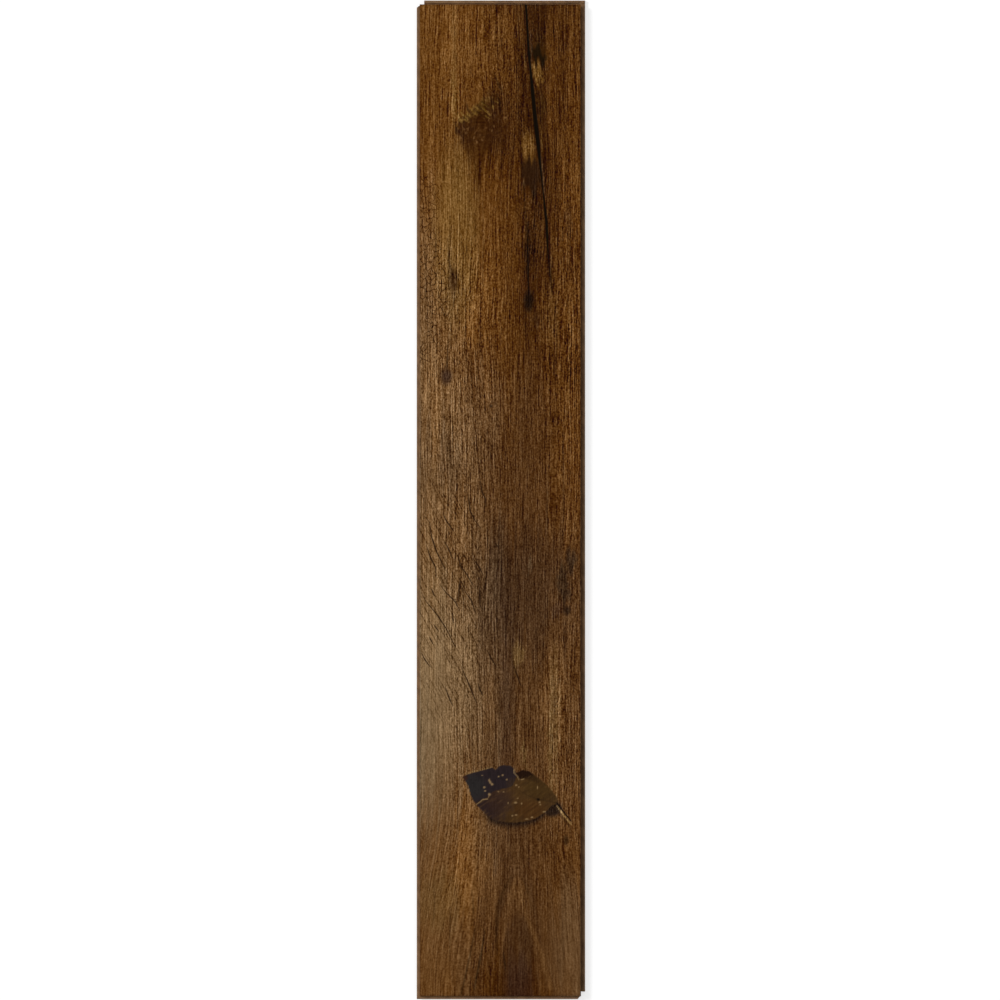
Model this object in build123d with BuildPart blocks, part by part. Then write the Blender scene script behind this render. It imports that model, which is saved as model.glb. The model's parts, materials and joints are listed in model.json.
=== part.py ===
from build123d import *
import os

# Laminate floor plank, in millimetres. It lies flat with its walking face up: its width runs
# along X, its length along Y. The origin is the middle of the back, where it rests on the floor.
# One pressed board, milled on all four edges with the same click joint: a tongue on one long
# side and one end, and a groove with a locking lip on the opposite side and end.

# Size of the walking face, which is also the pitch at which planks are laid, and of the board
face_width = 198.0
face_length = 1218.0
thickness = 12.0
face_bevel = 0.7

# Tongue, with heights from the back: flat on top, a blunt nose and a round belly, so that the
# plank can be angled into its neighbour
tongue_reach = 3.6
tongue_top = 7.6
tongue_bottom = 3.4
nose_radius = 1.1
belly_radius = 3.05

# Heel behind the tongue, and the recess behind the heel that takes the neighbour's lip
heel_depth = 1.0
heel_radius = 0.3
recess_top = 4.6
recess_depth = 5.6
cutter_radius = 0.4
lock_lean = 0.8

# Play between the joined profiles: where they slide, at the tongue's nose, and over and beyond
# the lip
slide_play = 0.05
nose_play = 0.3
lip_top_play = 0.15
lip_end_play = 0.4

# Mouth of the groove, eased so that the tongue finds it, and the lip's sloped end
mouth_chamfer = 0.5
lip_ramp_length = 1.0
lip_ramp_drop = 0.85

# Groove and lip, worked out from the tongue, heel and recess that they receive
groove_top = tongue_top + slide_play
groove_floor = tongue_bottom - slide_play
groove_depth = tongue_reach + nose_play
lock_start = heel_depth + slide_play
bump_top = recess_top - lip_top_play
lock_slope = lock_lean / (recess_top - tongue_bottom)
bump_start = lock_start + (bump_top - groove_floor) * lock_slope
lip_reach = recess_depth - lip_end_play


def tongue_profile():
    """Corners of the tongue side, top to bottom: reach beyond the face, height, rounding."""
    return [
        (-face_bevel, thickness, 0),
        (0, thickness - face_bevel, 0),
        (0, tongue_top, 0),
        (tongue_reach, tongue_top, nose_radius),
        (tongue_reach, tongue_bottom, belly_radius),
        (-heel_depth, tongue_bottom, heel_radius),
        (-heel_depth - lock_lean, recess_top, 0),
        (-recess_depth, recess_top, cutter_radius),
        (-recess_depth, 0, 0),
    ]


def groove_profile():
    """Corners of the groove side, bottom to top: reach beyond the face, height, rounding."""
    return [
        (lip_reach, 0, 0),
        (lip_reach, bump_top - lip_ramp_drop, 0),
        (lip_reach - lip_ramp_length, bump_top, 0),
        (bump_start, bump_top, heel_radius),
        (lock_start, groove_floor, heel_radius),
        (-groove_depth, groove_floor, belly_radius),
        (-groove_depth, groove_top, nose_radius),
        (-mouth_chamfer, groove_top, 0),
        (0, groove_top + mouth_chamfer, 0),
        (0, thickness - face_bevel, 0),
        (-face_bevel, thickness, 0),
    ]


def click_section(face_span):
    """Section across the plank between a tongue side and a groove side, face_span apart."""
    half = face_span / 2
    corners = [(-half - reach, height) for reach, height, _ in tongue_profile()]
    corners += [(half + reach, height) for reach, height, _ in groove_profile()]
    roundings = [rounding for _, _, rounding in tongue_profile() + groove_profile()]
    with BuildSketch() as section:
        with BuildLine():
            FilletPolyline(*corners, radius=roundings, close=True)
        make_face()
    return section.sketch


# Two milling passes: one section along the long sides, the other along the ends
blank_margin = 20.0

with BuildPart() as milled:
    with BuildSketch(Plane.XZ):
        add(click_section(face_width))
    extrude(amount=face_length / 2 + blank_margin, both=True)
    with BuildSketch(Plane.YZ):
        add(click_section(face_length))
    extrude(amount=face_width / 2 + blank_margin, both=True, mode=Mode.INTERSECT)

# Where a tongue crosses a lip, at two corners, the passes cut a sliver loose. The board is the rest
with BuildPart() as plank:
    add(milled.solids().sort_by(SortBy.VOLUME)[-1])

plank.part.label = "plank"

os.makedirs("parts", exist_ok=True)
export_step(plank.part, "parts/plank.step")
print("plank volume in litres", round(plank.part.volume / 1e6, 4))
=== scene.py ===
"""The looks of a laminate floor plank: embossed oak decor on top, fibreboard edges, paper back."""

import json
import math

import bmesh
import bpy
import numpy as np
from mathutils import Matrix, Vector


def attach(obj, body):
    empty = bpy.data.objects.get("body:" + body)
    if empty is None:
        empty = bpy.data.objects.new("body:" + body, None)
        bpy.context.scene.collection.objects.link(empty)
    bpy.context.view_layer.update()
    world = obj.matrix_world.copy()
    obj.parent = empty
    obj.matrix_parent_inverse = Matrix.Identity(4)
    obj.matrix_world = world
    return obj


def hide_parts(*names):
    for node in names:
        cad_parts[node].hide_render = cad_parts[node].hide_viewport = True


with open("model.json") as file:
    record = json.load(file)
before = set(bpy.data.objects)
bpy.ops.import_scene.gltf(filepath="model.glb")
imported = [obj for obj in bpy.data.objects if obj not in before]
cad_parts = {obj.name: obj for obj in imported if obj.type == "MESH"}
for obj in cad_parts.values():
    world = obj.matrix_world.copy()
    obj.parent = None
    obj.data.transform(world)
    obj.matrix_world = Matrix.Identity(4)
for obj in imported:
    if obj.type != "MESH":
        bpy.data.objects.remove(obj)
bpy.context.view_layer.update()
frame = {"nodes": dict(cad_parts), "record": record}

# The frame: where the walking face's edges and level are, in metres
PLANK = frame["nodes"]["plank"]
MOUNTS = {mount["name"]: mount["pos_m"] for mount in frame["record"]["mounts"]}
HALF_WIDTH = MOUNTS["lip_side_edge"][0]
HALF_LENGTH = MOUNTS["lip_end_edge"][1]
FACE_TOP = MOUNTS["walking_face"][2]
FACE_BEVEL = 0.0007
SAME_PLACE = 0.00002
MM = 0.001

# The photograph: 1000 pixels square, seen straight down, with the face's ends at these rows.
# The decor is laid out in its columns and rows, and one pixel of it is this many metres
PHOTO_SIZE = 1000
TOP_ROW, BOTTOM_ROW = 4.30, 996.43
MIDDLE_COLUMN, MIDDLE_ROW = 500.3, 500.37
PIXEL = 2 * HALF_LENGTH / (BOTTOM_ROW - TOP_ROW)
HALF_COLUMNS = HALF_WIDTH / PIXEL
HALF_ROWS = HALF_LENGTH / PIXEL


# Shapes drawn on the face. Columns, rows and shares are arrays, with a value for each place
def ramp(value, low, high):
    """0 at low, 1 at high and smooth between. low may be the larger."""
    share = np.clip((value - low) / (high - low), 0, 1)
    return share * share * (3 - 2 * share)


def band(value, places):
    """1 between the two middle places, fading to 0 at the outer ones."""
    return ramp(value, places[0], places[1]) * ramp(value, places[3], places[2])


def follow(value, points):
    """Height of a line through points, each (place, height), above value."""
    places, heights = zip(*points)
    return np.interp(value, places, heights)


def spot(column, row, centre, reach):
    """1 at a centre given as (column, row), fading to 0 at reach pixels each way."""
    away = ((column - centre[0]) / reach[0]) ** 2 + ((row - centre[1]) / reach[1]) ** 2
    return ramp(away, 1, 0)


def off_line(column, row, route, widths):
    """How far right of a line each place is, the line's half width there, and 1 beside it.

    route runs down, each (column, row). widths are spread evenly from its top to its bottom.
    """
    first, last = route[0][1], route[-1][1]
    off = column - follow(row, [(down, along) for along, down in route])
    half = np.interp(row, np.linspace(first, last, len(widths)), widths)
    return off, half, band(row, (first - 1, first + 1, last - 1, last + 1))


def stroke(column, row, route, widths, edge=0.5):
    """1 on a line, fading out over edge pixels each side of its rim.

    A line that runs across is drawn with column and row exchanged, in its route too.
    """
    off, half, beside = off_line(column, row, route, widths)
    return ramp(abs(off) - half, edge, -edge) * beside


HASH_SIZE = 4096


def noise(u, v, seed, octaves=1):
    """Smooth random numbers from about -1 to 1, with a bump to each unit of u and v."""
    heights = np.random.default_rng(seed).uniform(-1, 1, HASH_SIZE)
    summed, weight = 0.0, 1.0
    for octave in range(octaves):
        cell_u, cell_v = np.floor(u).astype(int), np.floor(v).astype(int)
        part_u, part_v = u - cell_u, v - cell_v
        part_u = part_u * part_u * (3 - 2 * part_u)
        part_v = part_v * part_v * (3 - 2 * part_v)
        corners = [
            heights[((cell_u + step_u) * 739 + (cell_v + step_v) * 1291) % HASH_SIZE]
            for step_v in (0, 1)
            for step_u in (0, 1)
        ]
        near = corners[0] * (1 - part_u) + corners[1] * part_u
        far = corners[2] * (1 - part_u) + corners[3] * part_u
        summed = summed + weight * (near * (1 - part_v) + far * part_v)
        u, v, weight = u * 2 + 17, v * 2 + 31, weight * 0.6
    return summed


# Where the fibres run. Grain is drawn at (fibre, row), so it bends wherever fibre isn't column
BIG_KNOT = (481, 128)
BIG_KNOT_RADIUS = 9.0
BIG_KNOT_STRETCH = 0.45
ARCH_COLUMN = 518
SPLAY_ROWS = (790, 1000)
SPLAY = 0.24


def fibre_line(column, row):
    """The fibre that passes through a place, named by its column if it ran straight."""
    dx = column - BIG_KNOT[0]
    dy = (row - BIG_KNOT[1]) * BIG_KNOT_STRETCH
    core = BIG_KNOT_RADIUS ** 2
    around = dx * core / (dx * dx + dy * dy + core * 0.8)
    splayed = (column - ARCH_COLUMN) * ramp(row, *SPLAY_ROWS) * SPLAY
    wavy = noise(column / 9, row / 55, 61) * 1.2 + noise(column / 30, row / 160, 62) * 3.0
    return column - around - splayed + wavy


# Long black crack, with its half widths
CRACK = [
    (525.8, 4), (527, 21), (528.9, 55), (530.5, 69), (532.4, 90), (534.8, 115),
    (537.4, 138), (540, 162), (542.8, 189), (546.5, 222), (547.8, 250), (548.2, 258),
]
CRACK_WIDTHS = (1.1, 1.0, 1.2, 1.0, 1.8, 1.9, 2.2, 1.6, 0.9, 0.7, 1.3, 1.2, 0.3)

# Round knots: centre, reach in pixels each way, strength, and colour as seen
SMALL_KNOTS = [
    ((453.5, 281), (6, 16), 0.85, (54, 28, 4)),
    ((446.3, 376.5), (8, 11), 1.00, (62, 40, 25)),
    ((528.8, 301), (7, 15), 1.00, (27, 12, 2)),
    ((567, 610.5), (5.2, 6.2), 1.00, (44, 26, 11)),
    ((566, 840), (4, 7), 0.80, (42, 23, 5)),
    ((491, 405.5), (2.2, 1.8), 1.00, (30, 18, 8)),
]

# Short slanting checks on the left, each from its upper to its lower end
CHECKS = [
    [(424, 515.6), (429.6, 522.2), (431.8, 537.8), (436.8, 552.2), (445.7, 571)],
    [(442.9, 512.2), (445.1, 518.9), (453.4, 531.1)],
    [(467.9, 492), (470.1, 511.1), (474.6, 520), (481.2, 529)],
    [(480, 479), (482, 492), (485.7, 499), (485.7, 507)],
    [(444.6, 541.1), (450.1, 552.2), (452.3, 559)],
    [(457.9, 553.3), (460.1, 565.6), (466.8, 574.4), (473.4, 586)],
    [(472.3, 557.8), (479, 566.7), (483.4, 575.6)],
    [(439, 583.3), (445.7, 592.2), (454.6, 601.1), (460.1, 611.1)],
    [(421.2, 592.2), (425.7, 601.1), (436.8, 614.4), (445.7, 627.8), (454.6, 645.6)],
    [(425.7, 543.3), (430.1, 556.7), (435.7, 567.8), (436.2, 578)],
    [(460.1, 577.8), (459, 590), (458.4, 602)],
    [(463, 588.9), (471.2, 600), (475.7, 613.3)],
    [(431.2, 587.8), (434.6, 597)],
    [(433.4, 624), (439, 632)],
    [(452.3, 613.3), (453.4, 624)],
    [(494.6, 542.2), (498.9, 548)],
    [(429, 636), (433.4, 645)],
    [(479.6, 585.6), (480.1, 608)],
    [(421, 652), (425, 660), (431, 668)],
    [(445, 686), (448, 695), (453, 707)],
    [(461, 666), (468, 682), (477, 704)],
    [(487, 650), (491, 658), (497, 668)],
    [(478, 683), (480, 690), (483, 696)],
    [(514, 665), (517, 675), (521, 686)],
]
CHECK_WIDTHS = (0.2, 0.85, 0.35)

# The mesh: the milled board from the frame, with its walking face made again as fine relief.
# The grid's rows lie closer at the big knot and at the leaf: each is (row, rows to a pixel)
ACROSS_FACES = 166
ALONG_FACES = 576
ROWS_TO_PIXEL = [
    (0, 0.42), (84, 0.42), (94, 1.0), (146, 1.0), (164, 0.42),
    (755, 0.42), (762, 1.1), (826, 1.1), (834, 0.42), (1000, 0.42),
]
FIBRE_DEPTH = 0.00006
CRACK_DEPTH = 0.00035
CHECK_DEPTH = 0.00015
KNOT_DEPTH = 0.00012


def brushed_grain(column, row):
    """The brushed fibres, from -1 in a furrow to 1 on a ridge."""
    fibre = fibre_line(column, row)
    fine = 0.6 * noise(fibre / 2.4, row / 24, 1)
    broad = 0.5 * noise(fibre / 5, row / 60, 3)
    return np.clip(fine + broad, -1, 1)


def face_depth(column, row):
    """How far the embossed face lies below its highest level, in metres."""
    level = leaf_share(column, row)
    depth = FIBRE_DEPTH * (1 - brushed_grain(column, row) * (1 - level))
    depth += CRACK_DEPTH * stroke(column, row, CRACK, CRACK_WIDTHS)
    depth += KNOT_DEPTH * spot(column, row, BIG_KNOT, (26, 34))
    for centre, reach, _, _ in SMALL_KNOTS:
        depth += KNOT_DEPTH * spot(column, row, centre, reach)
    for route in CHECKS:
        depth += CHECK_DEPTH * stroke(column, row, route, CHECK_WIDTHS)
    return depth


def photo_places(x, y):
    """Columns and rows of the photograph for places in metres."""
    return x / PIXEL + MIDDLE_COLUMN, MIDDLE_ROW - y / PIXEL


def face_grid(columns, rows):
    """The walking face and its bevel: a grid whose rim lies where the bevel meets the edges."""
    x, y = np.meshgrid(columns, rows)
    z = FACE_TOP - face_depth(*photo_places(x, y))
    z[0], z[-1], z[:, 0], z[:, -1] = [FACE_TOP - FACE_BEVEL] * 4
    corners = np.stack([x.ravel(), y.ravel(), z.ravel()], axis=1)
    numbers = np.arange(x.size).reshape(x.shape)
    around = (numbers[:-1, :-1], numbers[:-1, 1:], numbers[1:, 1:], numbers[1:, :-1])
    quads = np.stack(around, axis=-1).reshape(-1, 4)
    grid = bpy.data.meshes.new("face_grid")
    grid.from_pydata(corners.tolist(), [], quads.tolist())
    return grid


def split_rim(board, axis, side, places):
    """Cuts one side of the board's open rim wherever a grid line meets it, along axis."""
    fixed = 1 - axis
    rim = [
        edge
        for edge in board.edges
        if edge.is_boundary and all(abs(end.co[fixed] - side) < SAME_PLACE for end in edge.verts)
    ]
    for place in places:
        for edge in reversed(rim):
            near, far = sorted(edge.verts, key=lambda end: end.co[axis])
            if near.co[axis] + SAME_PLACE < place < far.co[axis] - SAME_PLACE:
                share = (place - near.co[axis]) / (far.co[axis] - near.co[axis])
                cut_edge, cut = bmesh.utils.edge_split(edge, near, share)
                cut.co[axis] = place
                rim.append(cut_edge)
                break


def column_lines():
    """Grid lines across: the two rims, the bevel's inner edges, and evenly between."""
    inner = HALF_WIDTH - FACE_BEVEL
    return np.concatenate([[-HALF_WIDTH], np.linspace(-inner, inner, ACROSS_FACES - 1), [HALF_WIDTH]])


def row_lines():
    """Grid lines along: the two rims, the bevel's inner edges, and closer where rows need it."""
    inner = HALF_LENGTH - FACE_BEVEL
    steps = np.linspace(-inner, inner, 4000)
    density = follow(photo_places(0, steps)[1], ROWS_TO_PIXEL)
    counted = np.concatenate([[0], np.cumsum((density[1:] + density[:-1]) / 2)])
    places = np.interp(np.linspace(0, counted[-1], ALONG_FACES - 1), counted, steps)
    return np.concatenate([[-HALF_LENGTH], places, [HALF_LENGTH]])


def dressed_plank():
    """The whole board as one closed mesh, its milled edges and back from the frame."""
    columns, rows = column_lines(), row_lines()
    board = bmesh.new()
    board.from_mesh(PLANK.data)
    bmesh.ops.remove_doubles(board, verts=board.verts, dist=SAME_PLACE / 4)
    rim_level = FACE_TOP - FACE_BEVEL
    above = [face for face in board.faces if min(end.co.z for end in face.verts) > rim_level - SAME_PLACE]
    bmesh.ops.delete(board, geom=above, context="FACES")
    for side in (-HALF_WIDTH, HALF_WIDTH):
        split_rim(board, 1, side, rows[1:-1])
    for side in (-HALF_LENGTH, HALF_LENGTH):
        split_rim(board, 0, side, columns[1:-1])
    grid = face_grid(columns, rows)
    board.from_mesh(grid)
    bpy.data.meshes.remove(grid)
    bmesh.ops.remove_doubles(board, verts=board.verts, dist=SAME_PLACE / 4)
    bmesh.ops.recalc_face_normals(board, faces=board.faces)

    open_edges = sum(not edge.is_manifold for edge in board.edges)
    triangles = sum(len(face.verts) - 2 for face in board.faces)
    print("plank mesh", triangles, "triangles,", open_edges, "open edges")
    mesh = bpy.data.meshes.new("floor_plank")
    board.to_mesh(mesh)
    board.free()
    mesh.polygons.foreach_set("use_smooth", [True] * len(mesh.polygons))
    mesh.set_sharp_from_angle(angle=math.radians(30))
    return mesh


# Colours
def linear(shown):
    """Scene colour from the red, green and blue, 0 to 255, that a picture of it shows."""
    share = np.array(shown) / 255
    return np.where(share > 0.04045, ((share + 0.055) / 1.055) ** 2.4, share / 12.92)


def mixed(share, under, over):
    """Colours that go from under to over as share goes from 0 to 1."""
    share = np.clip(share, 0, 1)[..., None]
    return under * (1 - share) + over * share


# The decor's broad tones. First the tone across, by column, in doublings of brightness
TONE_ACROSS = [
    (419, 0.28), (432, 0.38), (450, 0.50), (470, 0.38), (490, 0.00),
    (510, -0.27), (530, -0.22), (550, -0.12), (570, 0.05), (582, 0.05),
]

# Then soft patches: centre, reach in pixels each way, and doublings of brightness
TONE_PATCHES = [
    ((532, 60), (22, 330), -0.60),
    ((545, 90), (30, 170), -0.35),
    ((562, 20), (26, 110), -0.30),
    ((500, 250), (30, 150), 0.30),
    ((532, 300), (13, 90), -0.30),
    ((547, 210), (16, 110), -0.30),
    ((484, 140), (34, 36), -0.75),
    ((512, 130), (20, 45), -0.30),
    ((528, 590), (80, 90), -0.55),
    ((500, 650), (22, 170), -0.20),
    ((553, 700), (14, 140), 0.35),
    ((492, 965), (85, 90), -0.30),
    ((480, 990), (32, 45), -0.30),
    ((440, 340), (40, 120), 0.25),
    ((443, 225), (34, 80), 0.45),
    ((471, 285), (17, 65), 0.40),
    ((450, 465), (14, 45), -0.40),
    ((430, 400), (14, 60), 0.35),
    ((530, 304), (9, 24), -0.25),
    ((470, 862), (20, 85), 0.45),
    ((490, 885), (12, 55), 0.30),
    ((552, 60), (12, 90), 0.40),
    ((490, 60), (12, 45), 0.30),
    ((490, 704), (10, 40), 0.30),
    ((428, 600), (13, 130), 0.30),
    ((460, 20), (34, 60), 0.22),
    ((510, 20), (14, 40), 0.25),
    ((510, 100), (14, 140), 0.18),
    ((427, 100), (13, 110), 0.16),
    ((427, 285), (13, 120), 0.12),
    ((460, 278), (22, 50), -0.28),
    ((490, 300), (11, 150), 0.20),
    ((573, 230), (14, 200), 0.30),
    ((571, 268), (12, 44), -0.38),
    ((549, 120), (9, 130), 0.25),
    ((508, 404), (14, 60), 0.22),
    ((449, 565), (13, 60), -0.18),
    ((518, 904), (20, 30), 0.10),
    ((440, 620), (48, 190), 0.24),
    ((572, 144), (10, 45), -0.28),
    ((450, 80), (12, 70), 0.14),
    ((528, 104), (9, 34), 0.16),
    ((528, 192), (8, 30), 0.16),
    ((482, 885), (26, 60), -0.10),
]

# A painted sheen, the pale grey of light reflected off the left and lower parts: centre, reach, and strength
PAINTED_SHEEN_PATCHES = [
    ((400, 560), (97, 420), 0.46),
    ((408, 690), (88, 170), 0.50),
    ((535, 690), (110, 260), 0.14),
    ((588, 955), (45, 110), 0.27),
    ((424, 270), (24, 120), 0.13),
    ((440, 965), (50, 80), 0.12),
    ((522, 430), (44, 90), 0.08),
    ((484, 640), (28, 360), 0.14),
    ((546, 930), (34, 70), 0.08),
    ((468, 880), (70, 120), 0.08),
    ((517, 935), (26, 80), 0.05),
    ((470, 412), (40, 90), 0.10),
]

# Stains and lighter places of one colour each: centre, reach, strength, colour as seen
STAINS = [
    ((540, 42), (9, 16), 0.50, (56, 34, 8)),
    ((538.5, 55), (11, 8.5), 1.40, (30, 17, 3)),
    ((537.5, 74), (7.5, 13), 0.85, (122, 86, 36)),
    ((541, 106), (9, 18), 0.50, (54, 32, 4)),
    ((528.5, 148), (9, 21), 0.70, (112, 76, 29)),
    ((531.5, 175), (12, 23), 1.50, (46, 25, 7)),
    ((568, 219), (6, 24), 0.55, (62, 34, 9)),
    ((527.7, 250), (5, 34), 0.70, (44, 22, 3)),
    ((549, 270), (7, 36), 0.50, (60, 30, 4)),
    ((525, 286), (8, 20), 0.35, (70, 34, 10)),
    ((537, 319), (7, 13), 0.50, (58, 34, 12)),
    ((456, 235), (30, 120), 0.50, (122, 91, 44)),
    ((454, 100), (5, 34), 0.45, (130, 96, 46)),
    ((509, 690), (9, 130), 0.25, (64, 40, 22)),
    ((571, 560), (8, 16), 0.95, (40, 17, 0)),
    ((563, 577), (9, 15), 0.75, (45, 22, 0)),
    ((565, 594), (7, 14), 0.70, (42, 21, 4)),
    ((557, 608), (8, 10), 0.35, (60, 34, 22)),
    ((555, 705), (6, 70), 0.35, (122, 92, 52)),
    ((570, 470), (15, 110), 0.30, (112, 72, 30)),
    ((524, 756), (3.5, 18), 0.60, (118, 88, 48)),
    ((518.5, 654), (7, 20), 0.90, (104, 74, 36)),
    ((530, 566), (4, 9), 0.40, (92, 72, 48)),
    ((551, 740), (3, 90), 0.45, (128, 98, 56)),
    ((454, 60), (4, 80), 0.35, (124, 90, 46)),
    ((520, 985), (20, 40), 0.50, (52, 28, 18)),
    ((440, 900), (30, 40), 0.25, (100, 76, 36)),
    ((552, 320), (8, 60), 0.20, (92, 64, 26)),
]

# Tone of the arched grain at the bottom, by the row at which each arch has its top
ARCH_TONE = [
    (790, 0.0), (820, -0.14), (860, -0.20), (876, -0.28), (879, 0.04), (908, 0.08),
    (914, -0.10), (918, -0.26), (950, -0.34), (992, -0.60),
]
ARCH_STEEPNESS = 0.14
ARCH_HALF_WIDTH = (32, 19)

WARM = linear((87, 51, 12))
TONE_DRIFT = np.array([1.0, 1.22, 2.0])

# The fine grain, as layers of noise: how wide and long its streaks are in pixels, and strength
GRAIN_LAYERS = [
    (1.6, 2.2, 0.54),
    (1.3, 10, 0.50),
    (1.4, 28, 0.60),
    (1.2, 70, 0.64),
    (2.2, 90, 0.30),
    (3.4, 80, 0.10),
    (1.2, 5, 0.54),
    (1.1, 1.6, 0.54),
]
PORE = (1.5, 24)
PORE_RISE = (0.25, 0.75)
PORE_SHADE = 0.34

# The net of fine cracks: its cells and their bends in pixels, its lines in parts of a cell
CRACKLE_CELL = (4.8, 6.6)
CRACKLE_BEND = (7, 9)
CRACKLE_LINE = 0.09
CRACKLE_SHADE = 2.0

# Fine scratches across the grain on the left: width, length, columns to a row, and strength
SCRATCH = (1.5, 26)
SCRATCH_RISE = (0.25, 0.85)
SCRATCH_SLANT = 0.55
SCRATCH_SHADE = 1.0

# What a shade of 1 adds to red, green and blue as seen, in parts of the red
GRAIN_STEP = (0.25, 0.225, 0.19)
SCREEN_GAMMA = 2.2
DARKEST = 0.02
# The grey of the painted sheen, added at a strength of 1
PAINTED_SHEEN_GREY = np.array([0.076, 0.084, 0.058])
GRAIN_BY_ROW = [(0, 0.94), (240, 0.98), (320, 1.06), (400, 0.98), (840, 0.9), (900, 0.66), (930, 0.56), (1000, 0.6)]
GRAIN_ACROSS = [(420, 0.88), (434, 0.90), (457, 1.06), (482, 1.08), (507, 1.0), (534, 1.0), (563, 1.15)]

# Where the fine grain is stronger or weaker than that: centre, reach, and by how much
GRAIN_PATCHES = [
    ((462, 450), (60, 260), 0.28),
    ((434, 750), (24, 170), -0.40),
    ((462, 200), (56, 75), -0.28),
    ((510, 60), (34, 130), 0.32),
    ((563, 320), (28, 170), 0.18),
    ((565, 735), (22, 100), 0.24),
    ((534, 225), (16, 60), 0.35),
    ((434, 540), (32, 150), -0.20),
    ((482, 490), (24, 90), -0.15),
    ((565, 960), (34, 80), -0.35),
    ((482, 960), (22, 70), 0.30),
    ((484, 126), (32, 40), -0.55),
    ((531, 175), (13, 26), -0.70),
    ((538, 53), (12, 13), -0.70),
]


def total(column, row, patches):
    """Sum of soft patches, each its strength at its centre."""
    return sum(spot(column, row, centre, reach) * strength for centre, reach, strength in patches)


def arched_tone(column, row):
    """Nested arches of dark and light grain at the bottom of the plank."""
    dx = column - ARCH_COLUMN
    return follow(row - dx * dx * ARCH_STEEPNESS, ARCH_TONE) * ramp(abs(dx), *ARCH_HALF_WIDTH)


def rim_shade(column, row):
    """1 on the bevel round the face, where shade is painted, and 0 inside it."""
    sides = ramp(abs(column - MIDDLE_COLUMN), HALF_COLUMNS - 1.4, HALF_COLUMNS - 0.4)
    ends = ramp(abs(row - MIDDLE_ROW), HALF_ROWS - 1.4, HALF_ROWS - 0.4)
    return np.maximum(sides, ends)


def broad_colour(column, row):
    """The decor's colour without its grain: tones, stains, arches, painted shade on the bevel and a painted sheen.
    """
    fibre = fibre_line(column, row)
    streaky = noise(fibre / 2.5, row / 150, 7, octaves=2)
    soft_column = column + noise(fibre / 4, row / 50, 6, octaves=2) * 3.0
    soft_row = row + streaky * 25.0
    tone = follow(soft_column, TONE_ACROSS) + total(soft_column, soft_row, TONE_PATCHES)
    tone = tone + arched_tone(column + noise(fibre / 3, row / 30, 8) * 1.2, row + streaky * 2.5)
    # Painted shade: the bevel round the face made darker
    tone = tone - rim_shade(column, row) * 0.5
    colour = WARM * 2 ** (tone[..., None] * TONE_DRIFT)

    ragged_column = column + noise(column / 2.5, row / 4, 9, octaves=2) * 2.0
    ragged_row = row + noise(fibre / 1.8, row / 40, 10) * 8.0
    for centre, reach, strength, shown in STAINS:
        share = spot(ragged_column, ragged_row, centre, reach) * strength
        colour = mixed(share, colour, linear(shown))
    # Painted sheen: pale grey reflected light added over the colour
    painted_sheen = total(soft_column, soft_row, PAINTED_SHEEN_PATCHES)
    return colour + painted_sheen[..., None] * PAINTED_SHEEN_GREY


def crackled(column, row):
    """Where the net of fine cracks on the upper left shows."""
    patchy = ramp(noise(column / 9, row / 14, 33), -0.6, 0.1)
    where = spot(column, row, (427, 300), (32, 90)) * 1.3 + spot(column, row, (426, 195), (20, 60)) * 0.8
    return patchy * np.clip(where, 0, 1)


def scratched(column, row):
    """Where fine slanting scratches cross the grain."""
    where = spot(column, row, (446, 575), (50, 130)) + spot(column, row, (460, 690), (50, 90)) * 0.5
    return np.clip(where * 1.4, 0, 1)


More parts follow.
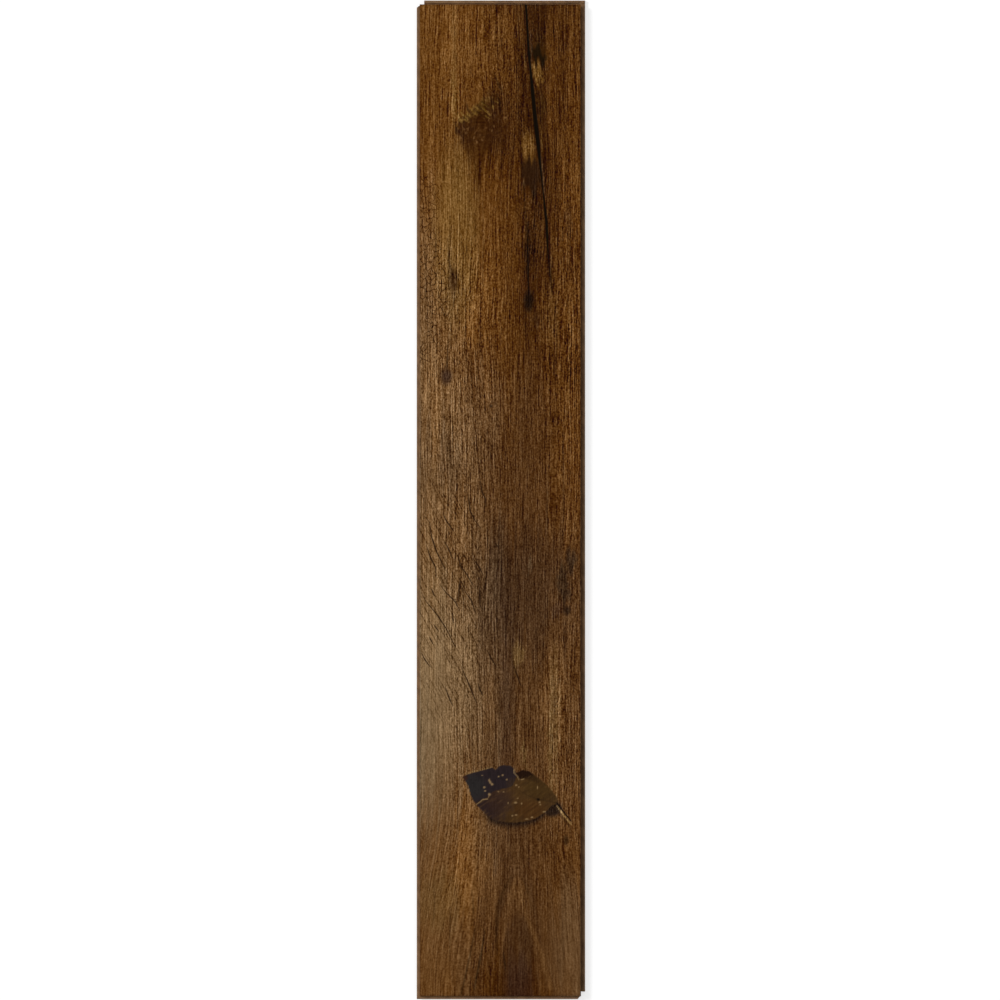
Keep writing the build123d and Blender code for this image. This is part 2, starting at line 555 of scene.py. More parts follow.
# Thin dark and light lines: route, half widths, strength, colour as seen
LINES = [
    ([(540.2, 124), (541.4, 138), (542.2, 152)], (0.2, 0.5, 0.2), 0.55, (124, 90, 38)),
    # Painted highlight on the crack's right wall, which faces the light
    ([(541.6, 156), (543.2, 178), (544.8, 198)], (0.2, 0.4, 0.2), 0.60, (134, 104, 74)),
    ([(543.2, 158), (544.8, 178), (546.2, 198)], (0.3, 0.5, 0.3), 0.60, (34, 20, 6)),
    ([(530.4, 30), (531.6, 55), (532.6, 68)], (0.3, 0.5, 0.3), 0.50, (96, 72, 50)),
    ([(523.6, 50), (525, 62), (525.8, 73)], (0.4, 1.0, 0.4), 0.45, (112, 78, 34)),
    ([(523.4, 178), (524, 183), (524.8, 188)], (0.3, 0.5, 0.3), 0.50, (112, 84, 52)),
    ([(524.4, 188), (524.8, 206), (526, 236)], (0.5, 0.7, 0.5), 0.60, (44, 25, 6)),
    ([(534.4, 210), (534.8, 238), (534.2, 266)], (0.3, 0.5, 0.3), 0.55, (44, 26, 8)),
    ([(547.6, 246), (549.6, 270), (552.6, 294)], (0.6, 1.2, 0.3), 0.90, (30, 12, 1)),
    ([(527.9, 222), (527.6, 250), (528.6, 292)], (0.5, 1.0, 0.9), 0.90, (22, 9, 1)),
    ([(448.6, 333), (447.6, 352), (446.8, 368)], (0.3, 0.6, 1.2), 0.75, (50, 31, 12)),
    ([(447.6, 238), (449, 262), (453, 276)], (0.3, 0.7, 1.6), 0.65, (58, 36, 12)),
    ([(454.4, 292), (453.8, 300), (453.4, 308)], (0.9, 0.6, 0.2), 0.70, (48, 30, 10)),
    ([(435.6, 230), (435.8, 248), (435.2, 266)], (0.3, 0.7, 0.3), 0.65, (52, 33, 12)),
    ([(511, 876), (504, 890), (498, 906), (496.6, 926), (497, 955)], (0.8, 2.2, 1.8, 0.8), 0.50, (56, 34, 11)),
    ([(521, 877), (526, 886), (529, 896), (532, 910)], (0.5, 1.5, 1.2, 0.4), 0.50, (58, 35, 12)),
    ([(511, 888), (508.6, 908), (505, 929), (501.6, 945), (499, 985)], (1.6, 1.5, 1.3, 0.8), 0.55, (98, 66, 34)),
    ([(520, 888), (525.4, 914), (532, 930), (541, 952), (551, 990)], (1.6, 1.8, 2.2, 1.8), 0.45, (106, 73, 38)),
    ([(514.6, 884), (515.4, 890), (516.6, 899)], (1.5, 3.6, 2.6), 0.50, (99, 66, 33)),
    ([(485, 930), (481, 955), (474, 990)], (0.4, 1.3, 0.6), 0.75, (42, 26, 8)),
    ([(476, 925), (470, 955), (461, 995)], (0.3, 1.0, 0.6), 0.65, (48, 30, 10)),
    ([(503.2, 952), (504.8, 964), (506, 974)], (0.4, 1.0, 0.3), 0.75, (32, 18, 6)),
    ([(472, 890), (473.5, 912), (472, 926)], (0.3, 0.8, 0.3), 0.60, (58, 38, 14)),
    ([(451, 905), (450, 930), (449, 962)], (0.3, 0.7, 0.3), 0.50, (62, 40, 16)),
    ([(434, 880), (434.6, 905), (433, 935)], (0.3, 0.7, 0.3), 0.45, (62, 40, 16)),
    ([(545.6, 948), (550.4, 970), (557, 992)], (0.4, 1.0, 0.5), 0.45, (112, 82, 50)),
    ([(502.4, 560), (504, 640), (504.8, 700), (505.6, 764)], (1.2, 4.2, 5.0, 5.6), 0.32, (66, 42, 24)),
    ([(512.2, 638), (511.2, 655), (513, 673)], (0.3, 0.9, 0.3), 0.60, (52, 32, 14)),
    ([(524.6, 640), (525.4, 655), (523.8, 671)], (0.3, 0.7, 0.3), 0.45, (56, 35, 15)),
    ([(482, 180), (483.6, 230), (482.8, 300)], (0.3, 0.7, 0.3), 0.40, (66, 40, 14)),
    ([(556, 300), (556.8, 340), (555.6, 380)], (0.3, 0.8, 0.4), 0.45, (56, 34, 12)),
    ([(565, 400), (563.2, 450), (564, 520)], (0.3, 0.8, 0.4), 0.45, (52, 31, 12)),
    ([(499.6, 700), (500, 740), (499.2, 766)], (0.4, 0.6, 0.6), 0.45, (136, 108, 76)),
    ([(556, 690), (556.6, 740), (556, 800)], (0.3, 0.6, 0.3), 0.45, (126, 96, 54)),
    ([(546.5, 470), (547.5, 500), (546.5, 530)], (0.3, 0.7, 0.3), 0.45, (52, 34, 16)),
    ([(568.6, 300), (569.5, 340), (567.5, 400)], (0.3, 0.7, 0.3), 0.45, (122, 88, 44)),
    ([(560, 860), (562, 900), (564, 960)], (0.3, 0.6, 0.3), 0.35, (60, 40, 22)),
]

# The big knot: its left edge, as (row, column), and how it fades out to the right and below
KNOT_EDGE = [
    (72, 491), (84, 488.5), (95, 485), (101, 480), (108, 472), (115, 467),
    (118, 458.5), (132, 456.3), (141, 458), (157, 466), (175, 475),
]
KNOT_ROWS = (74, 108, 134, 166)
KNOT_COLUMNS = (520, 490)
FRINGE = (-3, 1, 7, 14)
FRINGE_ROWS = (94, 101, 119, 125)

# Its curled fibres and the dark gaps between them, and pale specks below them
KNOT_GAPS = [
    [(473, 109.2), (477.5, 112), (484, 117)],
    [(480, 100), (484.5, 104.3), (491, 109.5)],
    [(466.5, 104), (468, 110), (472, 115)],
    [(490.4, 97), (492.4, 102), (491.8, 107)],
    [(461.5, 116.4), (463.5, 118.2), (466, 120)],
    [(477.8, 104.5), (480.5, 108.5), (484.2, 111.6)],
    [(456.2, 121), (455.9, 128), (456.8, 135)],
    [(496.5, 93), (499.5, 101), (501, 112)],
    [(494.4, 73), (498, 83), (502.6, 94)],
]
KNOT_HAIRS = [
    [(457.6, 113), (459, 117), (462, 121.6)],
    [(460.6, 111.5), (463.5, 115.6), (468, 119.6)],
    [(463.4, 117.6), (465.5, 120.6), (469.4, 122.4)],
    [(466, 110), (467.4, 114), (470.6, 117.4)],
    [(473.8, 105.4), (477.4, 108.6), (482, 111.4)],
    [(475, 112.4), (475.6, 114), (477, 115.6)],
    [(482, 103), (485, 105.6), (489, 107.4)],
    [(481.6, 107), (485.2, 111.2), (490.6, 115.4)],
    [(484.6, 107.6), (485.4, 110), (488.4, 112)],
    [(494, 100), (496, 101.4), (498, 103.4)],
    [(492.4, 104.6), (493.2, 107), (493.4, 109.4)],
    [(485.6, 115), (487, 117), (489.4, 118.6)],
    [(470.6, 107.4), (471.4, 110), (473, 112.4)],
    [(458.4, 119), (460.2, 121.4), (462.6, 122.8)],
]
KNOT_SPECKS = [
    (458.3, 128.6), (463.2, 128.8), (467.4, 129.3), (466, 132.8), (477.3, 142.3), (473.8, 137.7),
    (481.8, 139.8), (460.4, 137.7), (493.4, 126.4), (491.8, 130.4), (505.6, 117.4),
]


def knot_swirl(column, row, colour):
    """The big dark knot, with a fringe of curled golden fibres on its upper left."""
    mottle = noise(column / 2.0, row / 2.6, 41, octaves=2)
    ragged = column + noise(column / 3, row / 4, 42) * 2.0
    inside = ragged - follow(row + mottle * 1.5, KNOT_EDGE)
    dark = ramp(inside, -1, 3) * band(row, KNOT_ROWS) * ramp(column, *KNOT_COLUMNS)
    colour = mixed(dark * (0.88 - mottle * 0.16), colour, linear((54, 27, 4)))
    fringe = band(inside, FRINGE) * band(row, FRINGE_ROWS)
    colour = mixed(fringe * (0.55 + mottle * 0.3), colour, linear((94, 64, 22)))
    bent_column = column + noise(column / 1.6, row / 1.6, 43) * 0.8
    for route in KNOT_GAPS:
        gap = stroke(bent_column, row, route, (0.5, 1.3, 0.5), edge=0.8)
        colour = mixed(gap * 0.75, colour, linear((42, 22, 3)))
    for route in KNOT_HAIRS:
        hair = stroke(bent_column, row, route, (0.3, 0.7, 0.4), edge=0.8)
        colour = mixed(hair * 0.80, colour, linear((138, 106, 48)))
    for centre in KNOT_SPECKS:
        colour = mixed(spot(bent_column, row, centre, (1.1, 1.9)) * 0.5, colour, linear((128, 92, 54)))
    sparks = dark * ramp(noise(column / 1.2, row / 1.8, 44), 0.45, 0.85)
    return mixed(sparks * 0.35, colour, linear((112, 76, 40)))


# The leaf printed on the decor: its upper and lower outlines, and the torn edge of its dark flap
LEAF_TOP = [
    (462.3, 776.5), (472.8, 772.7), (483.8, 770.2), (492.2, 767.7), (495.6, 770.2), (498.5, 766.8),
    (504, 765.1), (510.8, 766), (513.7, 768.5), (515.8, 772.7), (522.6, 770.2), (529.3, 771.5),
    (536.9, 777), (544.5, 782.8), (551.3, 789.6), (557.2, 798), (559, 803),
]
LEAF_BOTTOM = [
    (462.3, 776.5), (468.1, 785.4), (470.7, 794.7), (472.8, 799.7), (477.5, 806), (483.8, 812.4),
    (490.5, 818.3), (497.3, 820.8), (507.4, 822.5), (517.5, 822.5), (526, 821.2), (534.4, 818.7),
    (542.8, 814), (547, 810.7), (551.3, 805.6), (559, 803),
]
LEAF_FLAP = [
    (462, 803), (476, 801.5), (484, 799.7), (489, 795.5), (493, 791.5),
    (505, 788.5), (512, 786.5), (515.5, 780), (517.5, 770),
]
LEAF_STAINS = [
    ((540, 789), (24, 17), 0.75, (62, 43, 17)),
    ((530, 810), (22, 14), 0.70, (70, 42, 15)),
    ((523, 773), (14, 8), 1.30, (29, 15, 8)),
    ((534, 777), (10, 6), 0.70, (44, 28, 12)),
    ((482, 808), (32, 26), 1.00, (42, 29, 27)),
    ((500, 800), (18, 20), 0.75, (52, 35, 27)),
    ((556, 800), (6, 6), 0.60, (66, 46, 22)),
]
LEAF_FLAP_STAINS = [
    ((473, 787), (17, 18), 1.00, (39, 36, 35)),
    ((507, 771), (12, 9), 0.50, (38, 29, 30)),
    ((464, 778), (5, 4), 0.80, (56, 32, 20)),
    ((513, 784), (9, 8), 0.50, (56, 40, 26)),
]
LEAF_RIB = [(787.5, 514), (795, 527), (798.3, 535), (800, 543), (803, 557)]
LEAF_TEARS = [
    [(513.8, 767.5), (514.2, 773), (517.6, 776.5), (519, 780)],
]
LEAF_TEARS_ACROSS = [
    [(804.7, 476), (801.5, 480.5), (799.5, 482.5), (799, 487.7), (795, 489.5)],
    [(779.6, 520.6), (779.4, 522.6), (778.8, 524.2)],
]
LEAF_SPECKS = [
    ((484.3, 787.3), (1.7, 1.5)), ((485.1, 790.9), (1.1, 1.3)), ((489.4, 780.4), (1.3, 2.2)),
    ((490.4, 782.4), (1.4, 2.0)), ((492.1, 784.3), (1.8, 1.7)), ((498.5, 776.5), (1.2, 1.2)),
    ((502.5, 775.2), (1.4, 1.3)), ((506.8, 779.5), (1.2, 1.2)), ((489.3, 794.5), (1.9, 2.0)),
    ((498.3, 791.5), (1.2, 1.0)), ((503.6, 791.9), (0.9, 1.0)), ((516.2, 785.1), (1.4, 1.2)),
    ((518.8, 787.1), (1.0, 1.1)), ((508, 803), (0.9, 1.4)), ((515.6, 802.7), (2.0, 1.4)),
    ((517.6, 798.3), (0.9, 0.9)), ((521.6, 803.5), (1.0, 1.2)), ((539.5, 802.3), (1.3, 1.2)),
    ((540.3, 804.7), (1.2, 1.1)), ((544.3, 811.8), (2.4, 1.0)), ((532, 817.4), (1.8, 1.0)),
    ((526.8, 819), (2.4, 0.8)), ((512.4, 815.8), (1.0, 1.2)), ((516, 815), (1.7, 1.0)),
    ((482.1, 775.4), (1.0, 0.9)), ((537.5, 787.5), (0.7, 2.0)),
]
# The stalk, the painted highlight on its lit side, and the painted shade on its other side
LEAF_STALK = [(556.7, 802.6), (564, 812.4), (571.6, 821.6)]
LEAF_STALK_LIT_EDGE = [(556.9, 805.8), (563.8, 815.4), (571.2, 824.4)]
LEAF_STALK_SHADE = [(555.4, 806.8), (561.8, 816.6), (569.4, 826.4)]


def leaf_share(column, row):
    """1 inside the leaf's outline."""
    first, last = LEAF_TOP[0][0], LEAF_TOP[-1][0]
    edge = noise(column / 2, row / 2, 53) * 0.4
    inside = ramp(row - follow(column, LEAF_TOP) + edge, -0.5, 0.5)
    inside = inside * ramp(follow(column, LEAF_BOTTOM) - row + edge, -0.5, 0.5)
    return inside * band(column, (first - 0.5, first + 0.5, last - 0.5, last + 0.5))


def leaf(column, row, colour):
    """A dead leaf in the print, with a torn dark flap at its left and its stalk at its right, a painted shadow
    right of it and below it, and a painted highlight on its upper left edge.
    """
    # Painted shadow of the leaf on the wood, right of it and below it
    shade = spot(column, row, (551.5, 808.5), (14, 11)) * 1.3
    below = row - follow(column, LEAF_BOTTOM)
    under = ramp(below, 9, 0) * band(column, (478, 492, 540, 556)) * ramp(row, 800, 812)
    colour = mixed(np.maximum(shade, under), colour, linear((38, 24, 14)))
    # Painted highlight along the leaf's upper left edge
    above = follow(column, LEAF_TOP) - row
    lit = band(above, (-0.4, 0.4, 1.0, 2.2)) * band(column, (463, 467, 488, 494)) * 0.35
    colour = mixed(lit, colour, linear((140, 114, 72)))
    # Painted shade and painted highlight on the two sides of the stalk
    shaded_side = stroke(column, row, LEAF_STALK_SHADE, (0.8, 1.0, 0.6)) * 0.6
    colour = mixed(shaded_side, colour, linear((44, 28, 14)))
    lit_side = stroke(column, row, LEAF_STALK_LIT_EDGE, (0.4, 0.9, 0.8)) * 0.9
    colour = mixed(lit_side, colour, linear((158, 128, 80)))

    veins = noise((column + row * 1.3) / 3.0, (row - column * 0.6) / 9, 51, octaves=2)
    mottle = noise(column / 3, row / 3, 52, octaves=2)
    body = linear((68, 46, 22))
    for centre, reach, strength, shown in LEAF_STAINS:
        share = spot(column + mottle * 2, row + mottle * 2, centre, reach) * strength
        body = mixed(share, body, linear(shown))
    body = mixed(ramp(veins, -0.1, -0.9) * 0.35, body, linear((42, 25, 12)))
    body = mixed(ramp(veins, 0.3, 1.0) * 0.22, body, linear((100, 72, 36)))
    body = mixed(stroke(row, column, LEAF_RIB, (0.2, 0.4, 0.6)) * 0.5, body, linear((40, 24, 12)))
    body = mixed(spot(column, row, (538.3, 799.5), (2.2, 1.8)), body, linear((16, 10, 6)))

    flap = linear((39, 30, 31))
    for centre, reach, strength, shown in LEAF_FLAP_STAINS:
        flap = mixed(spot(column, row, centre, reach) * strength, flap, linear(shown))
    flap = mixed(ramp(mottle, 0, -1) * 0.4, flap, linear((26, 22, 22)))
    torn = follow(column + mottle * 0.6, LEAF_FLAP) + mottle * 0.8
    over = ramp(torn - row, -0.6, 0.6) * ramp(column, 517.5, 516)
    body = mixed(over, body, flap)
    pale = linear((150, 122, 80))
    for route in LEAF_TEARS:
        body = mixed(stroke(column, row, route, (0.4, 0.6, 0.4)) * 0.75, body, pale)
    for route in LEAF_TEARS_ACROSS:
        body = mixed(stroke(row, column, route, (0.4, 0.5, 0.5)) * 0.80, body, pale)
    for centre, reach in LEAF_SPECKS:
        body = mixed(spot(column, row, centre, reach) * 0.75, body, linear((146, 118, 80)))
    return mixed(leaf_share(column, row), colour, body)


def decor_colour(column, row):
    """The printed decor, without the fine grain and sharp lines that its material adds."""
    colour = knot_swirl(column, row, broad_colour(column, row))
    for route, widths, strength, shown in LINES:
        colour = mixed(stroke(column, row, route, widths) * strength, colour, linear(shown))
    for centre, reach, strength, shown in SMALL_KNOTS:
        colour = mixed(spot(column, row, centre, reach) * strength, colour, linear(shown))
    return leaf(column, row, colour)


# How near a sharp line, in pixels, it is drawn, and the offset where there is none
LINE_REACH = 3.5
NO_LINE = 1000.0


def sharp_lines(column, row):
    """Offset from the nearest sharp line, its half width, and its colour and strength.

    The offset keeps its sign, so that between two stored places it passes 0 only on the line.
    """
    lines = [(route, CHECK_WIDTHS, 0.90, (34, 17, 4)) for route in CHECKS]
    lines.append((CRACK, CRACK_WIDTHS, 1.00, (17, 11, 5)))
    lines.append((LEAF_STALK, (0.9, 0.8, 0.6), 1.00, (24, 14, 9)))
    offset = np.full(column.shape, NO_LINE)
    half_width = np.zeros(column.shape)
    colour = np.zeros((len(column), 4))
    for route, widths, strength, shown in lines:
        off, half, beside = off_line(column, row, route, widths)
        nearer = (beside > 0) & (abs(off) - half < abs(offset) - half_width)
        offset[nearer], half_width[nearer] = off[nearer], half[nearer]
        colour[nearer, :3] = linear(shown)
        colour[nearer, 3] = (beside * strength * (abs(off) < LINE_REACH))[nearer]
    return np.clip(offset, -2 * LINE_REACH, 2 * LINE_REACH), half_width, colour


def grain_contrast(column, row):
    """How strongly the fine grain shows: by place, and hardly on the leaf and in the crack."""
    contrast = follow(row, GRAIN_BY_ROW) * follow(column, GRAIN_ACROSS)
    contrast = contrast * (1 + total(column, row, GRAIN_PATCHES))
    hidden = np.maximum(leaf_share(column, row), stroke(column, row, CRACK, CRACK_WIDTHS))
    return contrast * (1 - 0.85 * hidden)


def store(mesh, name, kind, values):
    """Keeps a value for each of the mesh's corners, for its materials to read."""
    layer = mesh.attributes.new(name, kind, "POINT")
    key = "color" if kind == "FLOAT_COLOR" else "value"
    layer.data.foreach_set(key, np.ascontiguousarray(values, dtype=np.float32).ravel())


def print_decor(mesh):
    """Stores on the mesh what the decor's material reads: colours, fibres, contrast and lines."""
    places = np.empty(len(mesh.vertices) * 3)
    mesh.vertices.foreach_get("co", places)
    places = places.reshape(-1, 3)
    column, row = photo_places(places[:, 0], places[:, 1])
    seen = np.clip(decor_colour(column, row), 0, 1) ** (1 / SCREEN_GAMMA)
    store(mesh, "decor_as_seen", "FLOAT_COLOR", np.column_stack([seen, np.ones(len(seen))]))
    store(mesh, "fibre", "FLOAT", fibre_line(column, row))
    store(mesh, "contrast", "FLOAT", grain_contrast(column, row))
    store(mesh, "crackled", "FLOAT", crackled(column, row))
    store(mesh, "scratched", "FLOAT", scratched(column, row))
    offset, half_width, line_colour = sharp_lines(column, row)
    store(mesh, "line_offset", "FLOAT", offset)
    store(mesh, "line_half_width", "FLOAT", half_width)
    store(mesh, "line_colour", "FLOAT_COLOR", line_colour)


# Shader nodes
class Field:
    """An output of a shader node that holds a number. Arithmetic on it adds nodes."""

    def __init__(self, socket):
        self.socket = socket
        self.tree = socket.node.id_data

    def math(self, operation, *values):
        node = self.tree.nodes.new("ShaderNodeMath")
        node.operation = operation
        for port, value in zip(node.inputs, values):
            plug(port, value)
        return Field(node.outputs[0])

    def __add__(self, other):
        return self.math("ADD", self, other)

    def __radd__(self, other):
        return self.math("ADD", other, self)

    def __sub__(self, other):
        return self.math("SUBTRACT", self, other)

    def __rsub__(self, other):
        return self.math("SUBTRACT", other, self)

    def __mul__(self, other):
        return self.math("MULTIPLY", self, other)

    def __truediv__(self, other):
        return self.math("DIVIDE", self, other)


def plug(port, value):
    """Links a field to a node's input, or sets the input to a plain value."""
    if isinstance(value, Field):
        value.tree.links.new(value.socket, port)
    else:
        port.default_value = value


def smooth_step(value, low, high):
    """0 at low, 1 at high and smooth between, as a field."""
    node = value.tree.nodes.new("ShaderNodeMapRange")
    node.interpolation_type = "SMOOTHSTEP"
    plug(node.inputs["Value"], value)
    node.inputs["From Min"].default_value = low
    node.inputs["From Max"].default_value = high
    return Field(node.outputs["Result"])


def new_material(name):
    """A material with its Principled shader, and the fields x, y and z in metres."""
    material = bpy.data.materials.new(name)
    material.use_nodes = True
    tree = material.node_tree
    split = tree.nodes.new("ShaderNodeSeparateXYZ")
    tree.links.new(tree.nodes.new("ShaderNodeTexCoord").outputs["Object"], split.inputs[0])
    return material, tree.nodes["Principled BSDF"], [Field(socket) for socket in split.outputs]


def attribute(tree, name, output="Fac"):
    """A value stored on the mesh, as a field."""
    node = tree.nodes.new("ShaderNodeAttribute")
    node.attribute_name = name
    return Field(node.outputs[output])


def noise_node(u, v, seed, octaves=1, rough=0.5):
    """Noise about 0, mostly between -1 and 1, with bumps about a unit long each way."""
    tree = u.tree
    join = tree.nodes.new("ShaderNodeCombineXYZ")
    plug(join.inputs[0], u + seed * 37.3)
    plug(join.inputs[1], v + seed * 11.7)
    node = tree.nodes.new("ShaderNodeTexNoise")
    node.noise_dimensions = "2D"
    tree.links.new(join.outputs[0], node.inputs["Vector"])
    node.inputs["Scale"].default_value = 1.0
    node.inputs["Detail"].default_value = octaves - 1
    node.inputs["Roughness"].default_value = rough
    return u.math("MULTIPLY_ADD", Field(node.outputs["Fac"]), 3.0, -1.5)


def blend(share, under, over):
    """Colour that goes from under to over as share, a field, goes from 0 to 1."""
    node = share.tree.nodes.new("ShaderNodeMix")
    node.data_type = "RGBA"
    plug(node.inputs["Factor"], share)
    for port, colour in ((node.inputs[6], under), (node.inputs[7], over)):
        if isinstance(colour, Field):
            plug(port, colour)
        else:
            port.default_value = (*linear(colour).tolist(), 1.0)
    return Field(node.outputs[2])


def shaded(seen, shade):
    """Scene colour from a colour as seen, with a shade of the grain added to it."""
    tree = shade.tree
    split = tree.nodes.new("ShaderNodeSeparateXYZ")
    join = tree.nodes.new("ShaderNodeCombineXYZ")
    plug(split.inputs[0], seen)
    added = shade * Field(split.outputs[0])
    for port, channel, step in zip(join.inputs, split.outputs, GRAIN_STEP):
        shown = added.math("MULTIPLY_ADD", added, step, Field(channel))
        shown = shown.math("MAXIMUM", shown, DARKEST)
        plug(port, shown.math("POWER", shown, SCREEN_GAMMA))
    return Field(join.outputs[0])


def bumped(shader, height, distance):
    """Gives a shader fine relief from a height field, distance metres to a unit."""
    node = height.tree.nodes.new("ShaderNodeBump")
    node.inputs["Strength"].default_value = 1.0
    node.inputs["Distance"].default_value = distance
    plug(node.inputs["Height"], height)
    plug(shader.inputs["Normal"], Field(node.outputs["Normal"]))


def crackle_net(column, row):
    """A net of thin bent lines, 1 on a line."""
    tree = column.tree
    join = tree.nodes.new("ShaderNodeCombineXYZ")
    for port, place, cell, seed in ((0, column, CRACKLE_CELL[0], 31), (1, row, CRACKLE_CELL[1], 32)):
        bent = noise_node(column / CRACKLE_BEND[0], row / CRACKLE_BEND[1], seed) * 0.35
        plug(join.inputs[port], place / cell + bent)
    node = tree.nodes.new("ShaderNodeTexVoronoi")
    node.voronoi_dimensions = "2D"
    node.feature = "DISTANCE_TO_EDGE"
    node.inputs["Scale"].default_value = 1.0
    tree.links.new(join.outputs[0], node.inputs["Vector"])
    return smooth_step(Field(node.outputs["Distance"]), CRACKLE_LINE, 0.0)


def with_sharp_lines(tree, colour):
    """The stored crack, checks and stalk drawn over a colour."""
    off = attribute(tree, "line_offset")
    past_rim = off.math("ABSOLUTE", off) - attribute(tree, "line_half_width")
    share = smooth_step(past_rim, 0.45, -0.45) * attribute(tree, "line_colour", "Alpha")
    return blend(share, colour, attribute(tree, "line_colour", "Color"))


def decor_material():
    """The printed and embossed oak decor: stored colours, with fine grain added."""
    material, shader, (x, y, z) = new_material("oak_decor")
    tree = material.node_tree
    column = x.math("MULTIPLY_ADD", x, 1 / PIXEL, MIDDLE_COLUMN)
    row = y.math("MULTIPLY_ADD", y, -1 / PIXEL, MIDDLE_ROW)
    fibre = attribute(tree, "fibre")
    contrast = attribute(tree, "contrast")
    layers = [
        noise_node(fibre / width, row / length, seed) * strength
        for seed, (width, length, strength) in enumerate(GRAIN_LAYERS)
    ]
    grain = sum(layers[1:], layers[0])
    pores = smooth_step(noise_node(fibre / PORE[0], row / PORE[1], 20), *PORE_RISE)
    cracks = crackle_net(column, row) * attribute(tree, "crackled")
    across = (column - row * SCRATCH_SLANT) / SCRATCH[0]
    scratches = smooth_step(noise_node(across, row / SCRATCH[1], 23), *SCRATCH_RISE)
    marks = cracks * CRACKLE_SHADE + scratches * attribute(tree, "scratched") * SCRATCH_SHADE
    shade = (grain - pores * PORE_SHADE) * contrast - marks
    colour = with_sharp_lines(tree, shaded(attribute(tree, "decor_as_seen", "Color"), shade))

    plug(shader.inputs["Base Color"], colour)
    plug(shader.inputs["Roughness"], 0.46 - shade * 0.05)
    shader.inputs["Specular IOR Level"].default_value = 0.03
    bumped(shader, shade, 0.00025)
    return material


def fibreboard_material():
    """Milled high-density fibreboard, with the thin dark line of the face layers on top."""
    material, shader, (x, y, z) = new_material("milled_fibreboard")
    along = (x + y) / MM
    height = z / MM
    fibres = noise_node(along / 0.5, height / 0.5, 11, octaves=3, rough=0.7)
    clouds = noise_node(along / 9, height / 2, 12)
    colour = blend(smooth_step(fibres * 0.5 + clouds * 0.4, -1, 1), (92, 66, 42), (136, 103, 70))
    face_layers = smooth_step(height, FACE_TOP / MM - 1.05, FACE_TOP / MM - 0.95)
    plug(shader.inputs["Base Color"], blend(face_layers, colour, (66, 44, 26)))
    plug(shader.inputs["Roughness"], 0.72 + fibres * 0.05)
    shader.inputs["Specular IOR Level"].default_value = 0.2
    bumped(shader, fibres, 0.00008)
    return material


def backing_material():
    """The pale brown balancing paper on the back, with a faint mottle."""
    material, shader, (x, y, z) = new_material("backing_paper")
    mottle = noise_node(x / (6 * MM), y / (14 * MM), 21, octaves=3, rough=0.6)
    fine = noise_node(x / (0.8 * MM), y / (1.6 * MM), 22, octaves=2)
    colour = blend(smooth_step(mottle * 0.6 + fine * 0.4, -1, 1), (150, 126, 98), (176, 152, 122))
    plug(shader.inputs["Base Color"], colour)
    plug(shader.inputs["Roughness"], 0.6 + fine * 0.06)
    shader.inputs["Specular IOR Level"].default_value = 0.2
    return material


def dress_plank():
    """Makes the plank's piece, with a material for each kind of surface."""
    mesh = dressed_plank()
    print_decor(mesh)
    for material in (decor_material(), fibreboard_material(), backing_material()):
        mesh.materials.append(material)
    decor_level = FACE_TOP - FACE_BEVEL - SAME_PLACE
    for face in mesh.polygons:
        lowest = min(mesh.vertices[corner].co.z for corner in face.vertices)
        highest = max(mesh.vertices[corner].co.z for corner in face.vertices)
        if lowest > decor_level:
            face.material_index = 0
        elif highest < SAME_PLACE:
            face.material_index = 2
        else:
            face.material_index = 1
    piece = bpy.data.objects.new("floor_plank", mesh)
    bpy.context.scene.collection.objects.link(piece)
    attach(piece, "root")
    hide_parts("plank")
    return piece


# The studio: pale floor, even light with a darker ceiling, and a soft sun from the upper left
CAMERA_HEIGHT = 10.0
SENSOR = 36.0
SUN_SIDE = (-0.72, 0.30, 0.62)
SUN_STRENGTH = 2.1
WORLD_LIGHT = 0.6
CEILING_GREY = 0.05
FLOOR_SIZE = 30.0
FLOOR_LEVEL = -0.00005
OPENING_INSET = 0.012
FLOOR_GREY = 0.45
FLOOR_GLOW = 0.6


def seen_directly(tree):
    """1 for camera, glossy and transmission rays, which show the background."""
    path = tree.nodes.new("ShaderNodeLightPath")
    seen = Field(path.outputs["Is Camera Ray"]) + Field(path.outputs["Is Glossy Ray"])
    seen = seen + Field(path.outputs["Is Transmission Ray"])
    return seen.math("MINIMUM", seen, 1.0)


def set_world():
    """Even light. What is seen of it directly is white walls below a darker ceiling."""
    world = bpy.data.worlds.new("studio")
    bpy.context.scene.world = world
    world.use_nodes = True
    tree = world.node_tree
    light = tree.nodes["Background"]
    light.inputs["Color"].default_value = (1, 1, 1, 1)
    split = tree.nodes.new("ShaderNodeSeparateXYZ")
    tree.links.new(tree.nodes.new("ShaderNodeTexCoord").outputs["Generated"], split.inputs[0])
    ceiling = smooth_step(Field(split.outputs[2]), 0.3, 0.8)
    backdrop = ceiling * (CEILING_GREY - 1) + 1
    plug(light.inputs["Strength"], seen_directly(tree) * (backdrop - WORLD_LIGHT) + WORLD_LIGHT)


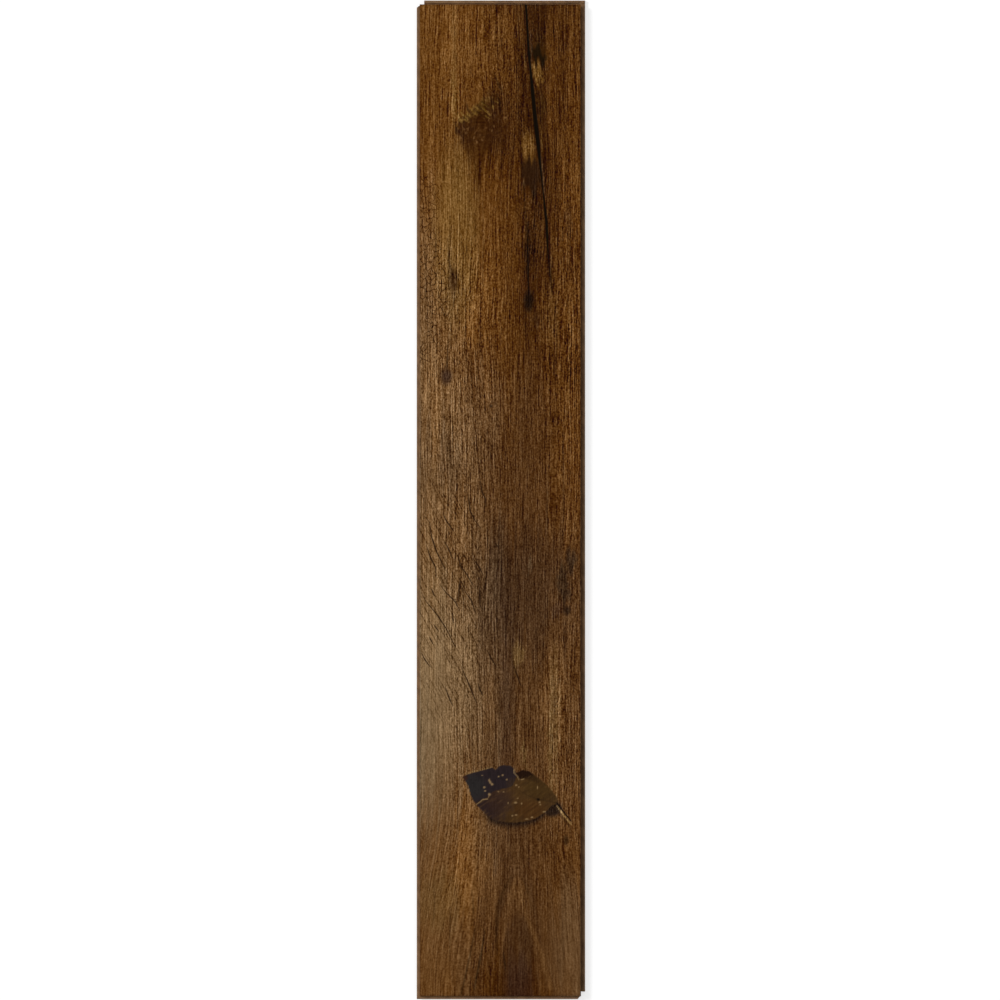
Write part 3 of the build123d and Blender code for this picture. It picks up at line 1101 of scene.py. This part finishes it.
def add_floor():
    """A floor with an opening under the plank, where its back is lit and seen from below."""
    mesh = bpy.data.meshes.new("studio_floor")
    reach = FLOOR_SIZE / 2
    opening = (HALF_WIDTH - OPENING_INSET, HALF_LENGTH - OPENING_INSET)
    corners = [
        (half_x * side_x, half_y * side_y, FLOOR_LEVEL)
        for half_x, half_y in ((reach, reach), opening)
        for side_x, side_y in ((-1, -1), (1, -1), (1, 1), (-1, 1))
    ]
    quads = [(side, (side + 1) % 4, (side + 1) % 4 + 4, side + 4) for side in range(4)]
    mesh.from_pydata(corners, [], quads)
    floor = bpy.data.objects.new("studio_floor", mesh)
    bpy.context.scene.collection.objects.link(floor)
    material = bpy.data.materials.new("white_floor")
    material.use_nodes = True
    tree = material.node_tree
    shader = tree.nodes["Principled BSDF"]
    shader.inputs["Base Color"].default_value = (FLOOR_GREY, FLOOR_GREY, FLOOR_GREY, 1)
    shader.inputs["Roughness"].default_value = 0.9
    shader.inputs["Specular IOR Level"].default_value = 0.0
    shader.inputs["Emission Color"].default_value = (1, 1, 1, 1)
    plug(shader.inputs["Emission Strength"], seen_directly(tree) * FLOOR_GLOW)
    mesh.materials.append(material)


def add_sun():
    light = bpy.data.lights.new("soft_sun", "SUN")
    light.energy = SUN_STRENGTH
    light.angle = math.radians(16)
    sun = bpy.data.objects.new("soft_sun", light)
    sun.rotation_euler = Vector(SUN_SIDE).to_track_quat("Z", "Y").to_euler()
    bpy.context.scene.collection.objects.link(sun)


def add_camera():
    """Straight above, with the face as large in the picture as in the photograph."""
    lens = bpy.data.cameras.new("camera")
    lens.sensor_width = SENSOR
    lens.lens = SENSOR * CAMERA_HEIGHT / (PHOTO_SIZE * PIXEL)
    lens.clip_end = 100
    camera = bpy.data.objects.new("camera", lens)
    middle = PHOTO_SIZE / 2
    x = (middle - MIDDLE_COLUMN) * PIXEL
    y = (MIDDLE_ROW - middle) * PIXEL
    camera.location = (x, y, FACE_TOP + CAMERA_HEIGHT)
    bpy.context.scene.collection.objects.link(camera)
    bpy.context.scene.camera = camera


dress_plank()
set_world()
add_floor()
add_sun()
add_camera()
bpy.context.scene.view_settings.view_transform = "Standard"
